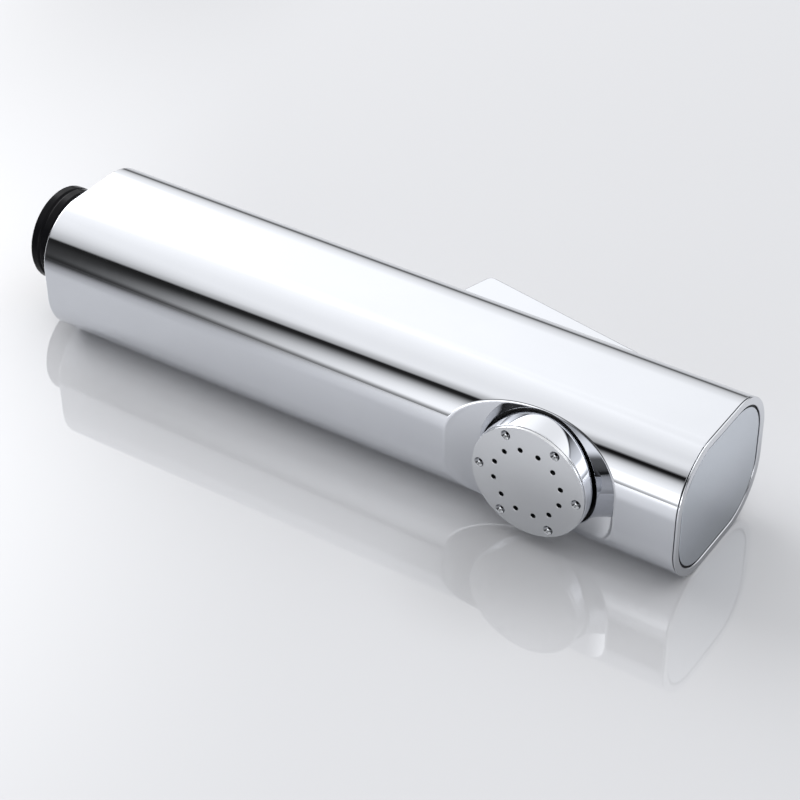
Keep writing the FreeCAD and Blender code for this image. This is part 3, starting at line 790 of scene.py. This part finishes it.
class Graph:
    """A node tree that is filled by short calls."""

    def __init__(self, tree):
        self.tree = tree

    def add(self, kind, inputs=None, **settings):
        node = self.tree.nodes.new(kind)
        for key, value in settings.items():
            setattr(node, key, value)
        for key, value in (inputs or {}).items():
            self.put(node, key, value)
        return node

    def put(self, node, key, value):
        if isinstance(value, bpy.types.NodeSocket):
            self.tree.links.new(value, node.inputs[key])
        else:
            node.inputs[key].default_value = value

    def math(self, operation, a, b=None, c=None, clamp=False):
        inputs = {i: v for i, v in enumerate((a, b, c)) if v is not None}
        return self.add("ShaderNodeMath", inputs, operation=operation, use_clamp=clamp).outputs[0]

    def product(self, *levels):
        return functools.reduce(lambda a, b: self.math("MULTIPLY", a, b), levels)

    def vector(self, operation, a, b):
        return self.add("ShaderNodeVectorMath", {0: a, 1: b}, operation=operation).outputs[0]

    def remap(self, value, from_low, from_high, to_low=0.0, to_high=1.0, smooth=True):
        kind = "SMOOTHSTEP" if smooth else "LINEAR"
        node = self.add("ShaderNodeMapRange", {0: value, 1: from_low, 2: from_high, 3: to_low, 4: to_high},
                        interpolation_type=kind)
        return node.outputs[0]

    def ramp(self, value, stops):
        """Grey levels over 0 to 1, each stop a place with its level."""
        node = self.add("ShaderNodeValToRGB", {0: value})
        ramp = node.color_ramp
        while len(ramp.elements) < len(stops):
            ramp.elements.new(1.0)
        for element, (place, level) in zip(ramp.elements, stops):
            element.position = place
            element.color = (level, level, level, 1.0)
        return node.outputs[0]

    def mix(self, share, a, b):
        return self.add("ShaderNodeMix", {0: share, 2: a, 3: b}, data_type="FLOAT").outputs[0]

    def mix_colour(self, share, a, b):
        return self.add("ShaderNodeMix", {0: share, 6: a, 7: b}, data_type="RGBA").outputs[2]


def set_camera():
    across = Vector((math.cos(view_azimuth), math.sin(view_azimuth), 0))
    back = Vector((math.sin(view_azimuth) * math.cos(view_elevation),
                   -math.cos(view_azimuth) * math.cos(view_elevation),
                   math.sin(view_elevation)))
    up = back.cross(across)
    turned_across = across * math.cos(view_roll) + up * math.sin(view_roll)
    turned_up = up * math.cos(view_roll) - across * math.sin(view_roll)
    data = bpy.data.cameras.new("camera")
    data.lens = view_lens
    data.sensor_width = 36
    data.clip_start = 0.01
    camera = link(bpy.data.objects.new("camera", data))
    turn = Matrix((turned_across, turned_up, back)).transposed()
    camera.matrix_world = Matrix.Translation(view_place) @ turn.to_4x4()
    bpy.context.scene.camera = camera


def light_room():
    """The room as the chrome sees it: a wide soft ceiling light whose lower edge slants across the front, a
    low light at the front right, a strong one on the inlet's side, and dark corners between them. Heights
    and bearings are in degrees. Bearing 0 is the way the spray faces, 90 the closed end, -90 the inlet."""
    room_level = 1.4
    room_tint = (0.985, 0.99, 1.0, 1)
    world = bpy.data.worlds.new("room")
    bpy.context.scene.world = world
    world.use_nodes = True
    g = Graph(world.node_tree)
    world.node_tree.nodes.clear()
    way = g.add("ShaderNodeTexCoord").outputs["Generated"]
    parts = g.add("ShaderNodeSeparateXYZ", {0: way}).outputs
    height = g.product(g.math("ARCSINE", parts[2]), math.degrees(1))
    bearing = g.product(g.math("ARCTAN2", parts[0], g.product(parts[1], -1)), math.degrees(1))

    def aside(middle):
        return g.math("ABSOLUTE", g.math("SUBTRACT", bearing, middle))

    def shaded(level, shade):
        return g.product(level, g.math("SUBTRACT", 1, shade))

    # The ceiling light's lower edge climbs towards the right, and it brightens over 50 degrees above that.
    edge = g.math("ADD", g.remap(bearing, -43, -32.5, 20, 36.8, smooth=False),
                  g.remap(bearing, -32.5, -22, 0, 8.5, smooth=False))
    above = g.math("SUBTRACT", height, edge)
    ceiling = g.ramp(g.math("DIVIDE", above, 50, clamp=True), [
        (0.0, 0.006), (0.024, 0.012), (0.068, 0.15), (0.096, 0.31), (0.12, 0.38), (0.17, 0.42),
        (0.26, 0.51), (0.34, 0.6), (0.4, 0.68), (0.5, 0.78), (0.6, 0.84), (0.72, 0.88), (0.9, 0.93)])
    ceiling = g.product(ceiling, g.remap(bearing, -50, -95, 1.0, 1.1))

    # Below the edge the low light brightens over 36 degrees, with a glare low down on the right. Under
    # the horizon, where reflections look past the table's end, it is dim.
    low = g.ramp(g.math("DIVIDE", above, -36, clamp=True), [
        (0.0, 0.005), (0.11, 0.012), (0.17, 0.07), (0.24, 0.21), (0.35, 0.44), (0.47, 0.65), (0.6, 0.78),
        (0.71, 0.88), (0.84, 0.95), (1.0, 1.0)])
    low = g.product(low, g.remap(bearing, -36.3, -24, 0.03, 1.0))
    glare = g.product(g.remap(bearing, -25, -14, 0.0, 1.2), g.remap(height, 16, 9))
    low = g.product(g.math("ADD", low, glare), g.remap(height, 2.5, -6.5, 1.0, 0.24))
    low = g.math("ADD", low, g.remap(bearing, -34, -26, 0.014, 0.0))
    front = g.mix(g.math("GREATER_THAN", above, 0), low, ceiling)

    # Behind the lever's side the light brightens over 60 degrees, with a dimmer middle.
    back = g.ramp(g.math("DIVIDE", height, 60, clamp=True), [
        (0.0, 0.1), (0.05, 0.16), (0.1, 0.5), (0.15, 0.62), (0.2, 0.72), (0.27, 0.83),
        (0.32, 0.87), (0.42, 0.95), (0.55, 1.06)])
    behind = g.math("ABSOLUTE", bearing)
    dimmed = g.math("ADD", g.remap(behind, 138, 165, 0.0, 0.2),
                    g.product(g.remap(behind, 136, 146, 0.0, 0.08), g.remap(height, 42, 52)))
    back = shaded(back, dimmed)

    # Front and back meet at the sides. The top is dimmer, the right dark and the inlet's side strong.
    level = g.mix(g.remap(aside(-30), 90, 45), back, front)
    level = g.product(level, g.remap(height, 50, 71, 1.0, 0.78, smooth=False))
    level = shaded(level, g.product(g.remap(aside(80), 55, 35, 0.0, 0.88), g.remap(height, 40, 24)))
    side_light = g.product(g.remap(aside(-105), 38, 18, 0.0, 3.0), g.remap(height, 6, 20),
                           g.remap(height, 54, 36))
    level = g.product(g.math("ADD", level, side_light), room_level)
    shade = g.add("ShaderNodeBackground", {0: room_tint, 1: level})
    out = g.add("ShaderNodeOutputWorld")
    g.tree.links.new(shade.outputs[0], out.inputs[0])


def new_material(name):
    """A material with its graph and its shader."""
    material = bpy.data.materials.new(name)
    material.use_nodes = True
    return material, Graph(material.node_tree), material.node_tree.nodes["Principled BSDF"]


def table_painted_light(g, seen):
    """The table's painted light and shade by place, in metres, and where it is left out of reflections.
    Seen is 1 where the camera looks at it."""
    spread = g.add("ShaderNodeTexCoord").outputs["Object"]
    x, y = g.add("ShaderNodeSeparateXYZ", {0: spread}).outputs[:2]

    # What the camera sees: painted shade, darker towards the right and at the far left, and a painted
    # shadow under the spray face.
    tone, painted_falloff_by_x = 0.615, -0.11
    painted_shadow_centre = (0.15, -0.036, -half_width * MM)
    painted_shadow_reach = g.add("ShaderNodeVectorMath", {0: spread, 1: painted_shadow_centre}, operation="DISTANCE").outputs["Value"]
    level = g.product(g.math("MULTIPLY_ADD", x, painted_falloff_by_x, tone), g.remap(x, -0.12, -0.02, 0.82, 1.0),
                      g.remap(painted_shadow_reach, 0.0, 0.028, 0.85, 1.0))

    # What only reflections show: painted light and shade, dark to the front left, brighter near and far in
    # front, and a painted shadow at the foot.
    lit_until, to_left, to_front = 0.041, -0.75, -0.663
    left = g.math("MULTIPLY_ADD", y, to_front, g.product(g.math("ADD", x, lit_until), to_left))
    near = g.product(g.remap(y, -0.035, -0.06, 0.0, 0.22), g.remap(x, 0.02, 0.08))
    far = g.product(g.remap(y, -0.08, -0.15, 0.0, 0.25), g.remap(x, 0.08, 0.16))
    end = rim_high.x * MM
    foot = g.product(g.remap(x, end + 0.016, end, 0.0, 0.5), g.math("GREATER_THAN", x, end))
    reflected_painted_light = g.product(g.remap(left, -0.012, 0.118, 1.0, 0.08), g.math("ADD", 1, g.math("ADD", near, far)),
                       g.math("SUBTRACT", 1, foot))
    beyond = g.math("LESS_THAN", y, -table_front)
    return g.product(level, g.mix(seen, reflected_painted_light, 1.0)), g.product(beyond, g.math("SUBTRACT", 1, seen))


def make_floor():
    """A pale glossy table top with painted light and shade. Reflections show it with their own painted
    light and shade and with an end in front.
    """
    bm = bmesh.new()
    bmesh.ops.create_circle(bm, cap_ends=True, segments=96, radius=table_radius)
    bmesh.ops.translate(bm, verts=bm.verts, vec=(0, 0, -half_width * MM))
    floor = as_object(bm, "table_top")
    material, g, shader = new_material("table_top")
    level, gone = table_painted_light(g, g.add("ShaderNodeLightPath").outputs["Is Camera Ray"])
    g.put(shader, "Base Color", g.mix_colour(level, (0, 0, 0, 1), table_tint))
    g.put(shader, "Roughness", 0.015)
    g.put(shader, "Specular IOR Level", 0.8)
    nothing = g.add("ShaderNodeBsdfTransparent").outputs[0]
    ended = g.add("ShaderNodeMixShader", {0: gone, 1: shader.outputs[0], 2: nothing})
    g.put(material.node_tree.nodes["Material Output"], "Surface", ended.outputs[0])
    floor.data.materials.append(material)


def noise_group():
    """Shared noise in object space, with its own repeats for each millimetre along each axis."""
    tree = bpy.data.node_groups.new("object_noise", "ShaderNodeTree")
    face = tree.interface
    face.new_socket(name="Repeats", in_out="INPUT", socket_type="NodeSocketVector")
    for name in ("Detail", "Low", "High"):
        face.new_socket(name=name, in_out="INPUT", socket_type="NodeSocketFloat")
    face.new_socket(name="Value", in_out="OUTPUT", socket_type="NodeSocketFloat")
    g = Graph(tree)
    given = g.add("NodeGroupInput").outputs
    place = g.vector("MULTIPLY", g.add("ShaderNodeTexCoord").outputs["Object"], given["Repeats"])
    place = g.vector("MULTIPLY", place, (1 / MM,) * 3)
    noise = g.add("ShaderNodeTexNoise", {"Vector": place, "Scale": 1.0, "Detail": given["Detail"],
                                         "Roughness": 0.55}).outputs[0]
    value = g.remap(noise, 0.3, 0.7, given["Low"], given["High"], smooth=False)
    g.put(g.add("NodeGroupOutput"), "Value", value)
    return tree


def smudge_group():
    """Shared handling marks: broad dull smudges broken up by fine ones, as a mask."""
    tree = bpy.data.node_groups.new("handling_marks", "ShaderNodeTree")
    face = tree.interface
    for name in ("Size", "Amount"):
        face.new_socket(name=name, in_out="INPUT", socket_type="NodeSocketFloat")
    face.new_socket(name="Mask", in_out="OUTPUT", socket_type="NodeSocketFloat")
    g = Graph(tree)
    given = g.add("NodeGroupInput").outputs
    place = g.add("ShaderNodeTexCoord").outputs["Object"]
    scale = g.math("DIVIDE", 1 / MM, given["Size"])
    broad, fine = [
        g.add("ShaderNodeTexNoise", {"Vector": place, "Scale": size, "Detail": detail}).outputs[0]
        for size, detail in ((scale, 2.0), (g.product(scale, 9.0), 4.0))]
    mask = g.product(g.remap(broad, 0.45, 0.68), g.remap(fine, 0.35, 0.65, 0.4, 1.0), given["Amount"])
    g.put(g.add("NodeGroupOutput"), "Mask", mask)
    return tree


noise = noise_group()
marks = smudge_group()


def finish_of(name, base, metallic, dull, marked, repeats, depth, tone=0.04, detail=2.0, **sockets):
    """A finish with its own grain. Dull is its roughness from low to high, marked the size and strength of
    its handling marks, repeats its grain's for each millimetre, depth the grain's in millimetres."""
    cloud_repeats = (0.11, 0.13, 0.12)
    material, g, shader = new_material(name)
    broad, grain = [
        g.add("ShaderNodeGroup", {"Repeats": each, "Detail": fine, "Low": 0.0, "High": 1.0},
              node_tree=noise).outputs[0]
        for each, fine in ((cloud_repeats, 3.0), (repeats, detail))]
    mask = g.add("ShaderNodeGroup", {"Size": marked[0], "Amount": marked[1]}, node_tree=marks).outputs[0]
    low = tuple(c * (1 - tone) for c in base)
    high = tuple(min(c * (1 + tone), 1.0) for c in base)
    g.put(shader, "Base Color", g.mix_colour(g.mix(0.5, broad, grain), (*low, 1), (*high, 1)))
    rough = g.remap(grain, 0.0, 1.0, *dull, smooth=False)
    g.put(shader, "Roughness", g.math("ADD", rough, mask, clamp=True))
    g.put(shader, "Metallic", metallic)
    bump = g.add("ShaderNodeBump", {"Height": grain, "Strength": 1.0, "Distance": depth * MM})
    g.put(shader, "Normal", bump.outputs[0])
    for key, value in sockets.items():
        g.put(shader, key.replace("_", " "), value)
    return material


def chrome_plate(name="chrome_plate"):
    """Polished plating: a slow waviness of the polish and faint handling marks."""
    return finish_of(name, plating, 1.0, (0.012, 0.03), (22.0, 0.035),
                     (0.05, 0.06, 0.06), 0.004, tone=0.012)


def satin(name, base, dull):
    """Bead-blasted metal under a thin plating."""
    return finish_of(name, base, 1.0, dull, (18.0, 0.02), (5.0,) * 3, 0.003, tone=0.02)


def masked(material, mask, colour, rough):
    """Gives another tone and polish to the part of a mesh that carries a mask. Both uses here make that
    part darker as painted shade.
    """
    g = Graph(material.node_tree)
    shader = material.node_tree.nodes["Principled BSDF"]
    share = g.add("ShaderNodeAttribute", attribute_name=mask).outputs["Fac"]
    own_rough = shader.inputs["Roughness"].links[0].from_socket
    own_colour = shader.inputs["Base Color"].links[0].from_socket
    g.put(shader, "Roughness", g.mix(share, own_rough, rough))
    g.put(shader, "Base Color", g.mix_colour(share, own_colour, (*colour, 1)))
    return material


def black_gloss():
    """Polished black plastic, deep enough to show little of the strong light on its side."""
    return finish_of("black_collar", (0.006, 0.006, 0.007), 0.0, (0.1, 0.17), (9.0, 0.1),
                     (0.35,) * 3, 0.004, tone=0.15, Specular_IOR_Level=0.05)


def turned_brass(name, repeats):
    """Machined brass, with the lines that the tool left along its turning."""
    return finish_of(name, (0.72, 0.53, 0.27), 1.0, (0.16, 0.34), (8.0, 0.1), repeats, 0.006, tone=0.08)


def moulded_rubber():
    """Dull black rubber with a fine bloom."""
    return finish_of("black_rubber", (0.020, 0.020, 0.021), 0.0, (0.5, 0.72), (6.0, 0.1),
                     (3.0,) * 3, 0.01, tone=0.25)


def moulded_plastic(name, base):
    """Half-matt plastic with the fine texture of its mould."""
    return finish_of(name, base, 0.0, (0.36, 0.5), (12.0, 0.08), (1.6,) * 3, 0.008, tone=0.03, detail=4.0)


def drawn_steel(name, repeats):
    """Bright drawn steel, brushed along one axis."""
    return finish_of(name, (0.60, 0.60, 0.59), 1.0, (0.14, 0.3), (7.0, 0.08), repeats, 0.003, tone=0.05)


def give(obj, material):
    obj.data.materials.clear()
    obj.data.materials.append(material)


def stand_for(obj, node, material, body="root"):
    give(obj, material)
    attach(obj, body)
    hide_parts(node)


set_camera()
light_room()
make_floor()
bpy.context.scene.view_settings.view_transform = "Standard"

chrome = chrome_plate()
# Painted shade: the rim's seam and the gap round the plate are near black, with duller plating there.
rim_chrome = masked(chrome_plate("chrome_rim"), "dull_recess_and_painted_shade", (0.03, 0.03, 0.032), 0.5)
end_satin = satin("satin_end", (0.60, 0.637, 0.69), (0.18, 0.23))
face_satin = satin("satin_spray_face", (0.655, 0.666, 0.683), (0.15, 0.2))
# Painted shade: the jets' hollows are given a darker colour; their lower roughness is the polish.
face_finish = masked(face_satin, "polish_and_painted_shade", (0.42, 0.43, 0.45), 0.1)
insert_brass = turned_brass("brass_insert", (14.0, 0.15, 0.15))
# Black plastic for the diffuser behind the spray face, as painted shade inside the small holes.
painted_shade_plastic = moulded_plastic("painted_shade_black", (0.016, 0.016, 0.018))

stand_for(handle_shell(), "body_shell", chrome)
stand_for(closed_end_rim(), "end_bezel", rim_chrome)
stand_for(closed_end_plate(), "end_plate", end_satin)
stand_for(inlet_grip(), "inlet_collar", black_gloss())
stand_for(threaded_insert(), "inlet_insert", insert_brass)
stand_for(spray_cup(), "nozzle_cup", chrome)
stand_for(spray_face(), "spray_plate", face_finish)
stand_for(squeeze_lever(), "lever", chrome, "lever")
# Painted shade: the diffuser behind the spray face is made black so that the small holes look dark inside.
stand_for(copied("diffuser_disc", "diffuser_in_painted_shade"), "diffuser_disc", painted_shade_plastic)

steel_along = drawn_steel("steel_along", (0.2, 9.0, 9.0))
steel_across = drawn_steel("steel_across", (9.0, 0.2, 9.0))
return_spring = copied("valve_spring", "return_spring")
stand_for(return_spring, "valve_spring", steel_across)
shortens(return_spring, (0, 1, 0))
poppet_spring = copied("check_valve_spring", "poppet_spring")
stand_for(poppet_spring, "check_valve_spring", steel_along)
shortens(poppet_spring, (-1, 0, 0))

inner_finishes = {
    turned_brass("brass_gland", (0.15, 14.0, 0.15)): ["stem_gland"],
    moulded_rubber(): ["inlet_washer", "tube_o_rings", "valve_plug_o_ring", "stem_o_ring", "valve_disc",
                       "nozzle_gasket", "nozzle_seal_ring"],
    moulded_plastic("core_plastic", (0.80, 0.80, 0.78)): ["inlet_housing", "water_tube", "valve_body",
                                                          "valve_plug"],
    moulded_plastic("check_valve_plastic", (0.15, 0.30, 0.62)): ["check_valve_cage", "check_valve_poppet"],
    steel_along: ["core_screws", "filter_screen"],
    steel_across: ["valve_seat", "valve_stem"],
    drawn_steel("steel_pin", (9.0, 9.0, 0.2)): ["lever_pin"],
}
for material, nodes in inner_finishes.items():
    for node in nodes:
        give(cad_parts[node], material)
